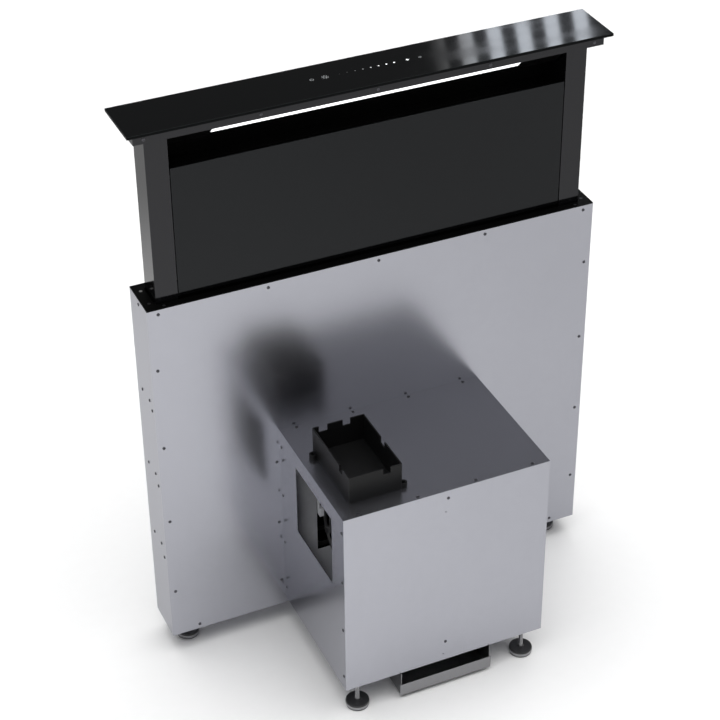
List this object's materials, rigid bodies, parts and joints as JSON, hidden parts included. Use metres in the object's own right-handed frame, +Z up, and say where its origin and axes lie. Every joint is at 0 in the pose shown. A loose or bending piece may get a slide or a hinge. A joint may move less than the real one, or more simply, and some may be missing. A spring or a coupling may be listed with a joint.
{
  "type": "downdraft vent",
  "caption": "Telescopic downdraft vent: slim steel casing, black glass riser with inlet slot and light, motor box with side outlet window, open tray and duct underneath.",
  "frame": {"origin": "on the floor, under the middle of the vent's overall length and depth", "axes": "+X to the right along the casing as seen from the motor box side, +Y from the motor box to the back of the casing, +Z up"},
  "size_m": [0.88, 0.3892, 1.1085],
  "materials": {
    "galvanised_sheet": "satin galvanised",
    "black_enamel": "gloss black",
    "black_glass": "polished, back-painted black",
    "dark_screws": "dark zinc",
    "zinc_steel": "zinc plated",
    "foot_steel": "turned",
    "aluminium_rail": "extruded",
    "aluminium_flap": "mill",
    "filter_mesh": "expanded mesh",
    "black_plastic": "moulded",
    "white_plastic": "machined",
    "wheel_plastic": "moulded",
    "black_wire": "satin black",
    "motor_steel": "rolled",
    "belt_rubber": "toothed",
    "brass_nut": "machined",
    "light_diffuser": "opal",
    "circuit_board": "lacquered"
  },
  "bodies": {
    "casing": {"casing_front_panel": "galvanised_sheet", "casing_back_panel": "galvanised_sheet", "casing_left_side": "galvanised_sheet", "casing_right_side": "galvanised_sheet", "casing_bottom": "galvanised_sheet", "corner_angles": "galvanised_sheet", "top_guide_frame": "black_enamel", "casing_screws": "dark_screws", "left_guide_rail": "aluminium_rail", "right_guide_rail": "aluminium_rail", "box_brackets": "galvanised_sheet", "motor_box_left_side": "galvanised_sheet", "motor_box_right_side": "galvanised_sheet", "motor_box_top": "galvanised_sheet", "motor_box_bottom": "galvanised_sheet", "motor_box_back": "galvanised_sheet", "motor_box_front_cover": "galvanised_sheet", "motor_box_screws": "dark_screws", "control_tray": "black_plastic", "outlet_duct": "galvanised_sheet", "blower_scroll": "galvanised_sheet", "inlet_guard": "black_wire", "motor_bracket": "black_wire", "blower_motor": "motor_steel", "blower_hangers": "galvanised_sheet", "electronics_case": "black_plastic", "cable_gland": "black_plastic", "lift_motor": "motor_steel", "sync_belt": "belt_rubber", "bearing_brackets": "galvanised_sheet", "foot_nuts": "zinc_steel"},
    "riser": {"left_post": "black_enamel", "right_post": "black_enamel", "riser_back_panel": "black_enamel", "riser_header": "black_enamel", "cap_glass": "black_glass", "light_carrier": "black_enamel", "led_strip": "light_diffuser", "touch_board": "circuit_board", "filter_frame": "black_enamel", "apron_beam": "black_enamel", "lift_nuts": "brass_nut", "glide_shoes": "white_plastic", "header_screws": "dark_screws"},
    "front_panel": {"front_panel": "black_glass", "panel_backing": "black_enamel"},
    "left_filter": {"left_filter": "filter_mesh"},
    "right_filter": {"right_filter": "filter_mesh"},
    "blower_wheel": {"impeller": "wheel_plastic", "blower_shaft": "zinc_steel"},
    "front_damper": {"front_damper": "aluminium_flap"},
    "back_damper": {"back_damper": "aluminium_flap"},
    "left_screw": {"left_lead_screw": "zinc_steel", "left_pulley": "aluminium_rail"},
    "right_screw": {"right_lead_screw": "zinc_steel", "right_pulley": "aluminium_rail"},
    "casing_left_foot": {"casing_left_foot": "foot_steel"},
    "casing_right_foot": {"casing_right_foot": "foot_steel"},
    "box_left_foot": {"box_left_foot": "foot_steel"},
    "box_right_foot": {"box_right_foot": "foot_steel"}
  },
  "joints": [
    {"name": "lift", "type": "slide", "parent": "casing", "child": "riser", "axis": [0, 0, 1], "range_m": [-0.313, 0]},
    {"name": "left_screw_turn", "type": "hinge", "parent": "casing", "child": "left_screw", "pos_m": [-0.385, 0.1396, 0.128], "axis": [0, 0, 1], "range_deg": [0, 5640]},
    {"name": "right_screw_turn", "type": "hinge", "parent": "casing", "child": "right_screw", "pos_m": [0.385, 0.1396, 0.128], "axis": [0, 0, 1], "range_deg": [0, 5640]},
    {"name": "panel_hinge", "type": "hinge", "parent": "riser", "child": "front_panel", "pos_m": [0, 0.1191, 0.7825], "axis": [1, 0, 0], "range_deg": [0, 75]},
    {"name": "left_filter_lift", "type": "slide", "parent": "riser", "child": "left_filter", "axis": [0, 0, 1], "range_m": [0, 0.006]},
    {"name": "right_filter_lift", "type": "slide", "parent": "riser", "child": "right_filter", "axis": [0, 0, 1], "range_m": [0, 0.006]},
    {"name": "wheel_spin", "type": "hinge", "parent": "casing", "child": "blower_wheel", "pos_m": [0, -0.0444, 0.3], "axis": [1, 0, 0], "continuous": true},
    {"name": "front_damper_turn", "type": "hinge", "parent": "casing", "child": "front_damper", "pos_m": [0, -0.1144, 0.0575], "axis": [1, 0, 0], "range_deg": [0, 80], "stiffness_Nm_per_rad": 0.02, "springref_deg": -28.65},
    {"name": "back_damper_turn", "type": "hinge", "parent": "casing", "child": "back_damper", "pos_m": [0, -0.1084, 0.0575], "axis": [-1, 0, 0], "range_deg": [0, 80], "stiffness_Nm_per_rad": 0.02, "springref_deg": -28.65},
    {"name": "casing_left_foot_height", "type": "slide", "parent": "casing", "child": "casing_left_foot", "axis": [0, 0, 1], "range_m": [-0.012, 0]},
    {"name": "casing_right_foot_height", "type": "slide", "parent": "casing", "child": "casing_right_foot", "axis": [0, 0, 1], "range_m": [-0.012, 0]},
    {"name": "box_left_foot_height", "type": "slide", "parent": "casing", "child": "box_left_foot", "axis": [0, 0, 1], "range_m": [-0.012, 0]},
    {"name": "box_right_foot_height", "type": "slide", "parent": "casing", "child": "box_right_foot", "axis": [0, 0, 1], "range_m": [-0.012, 0]}
  ],
  "couplings": [
    {"joint": "left_screw_turn", "follows": "lift", "rad_per_m": -314.16},
    {"joint": "right_screw_turn", "follows": "lift", "rad_per_m": -314.16}
  ]
}
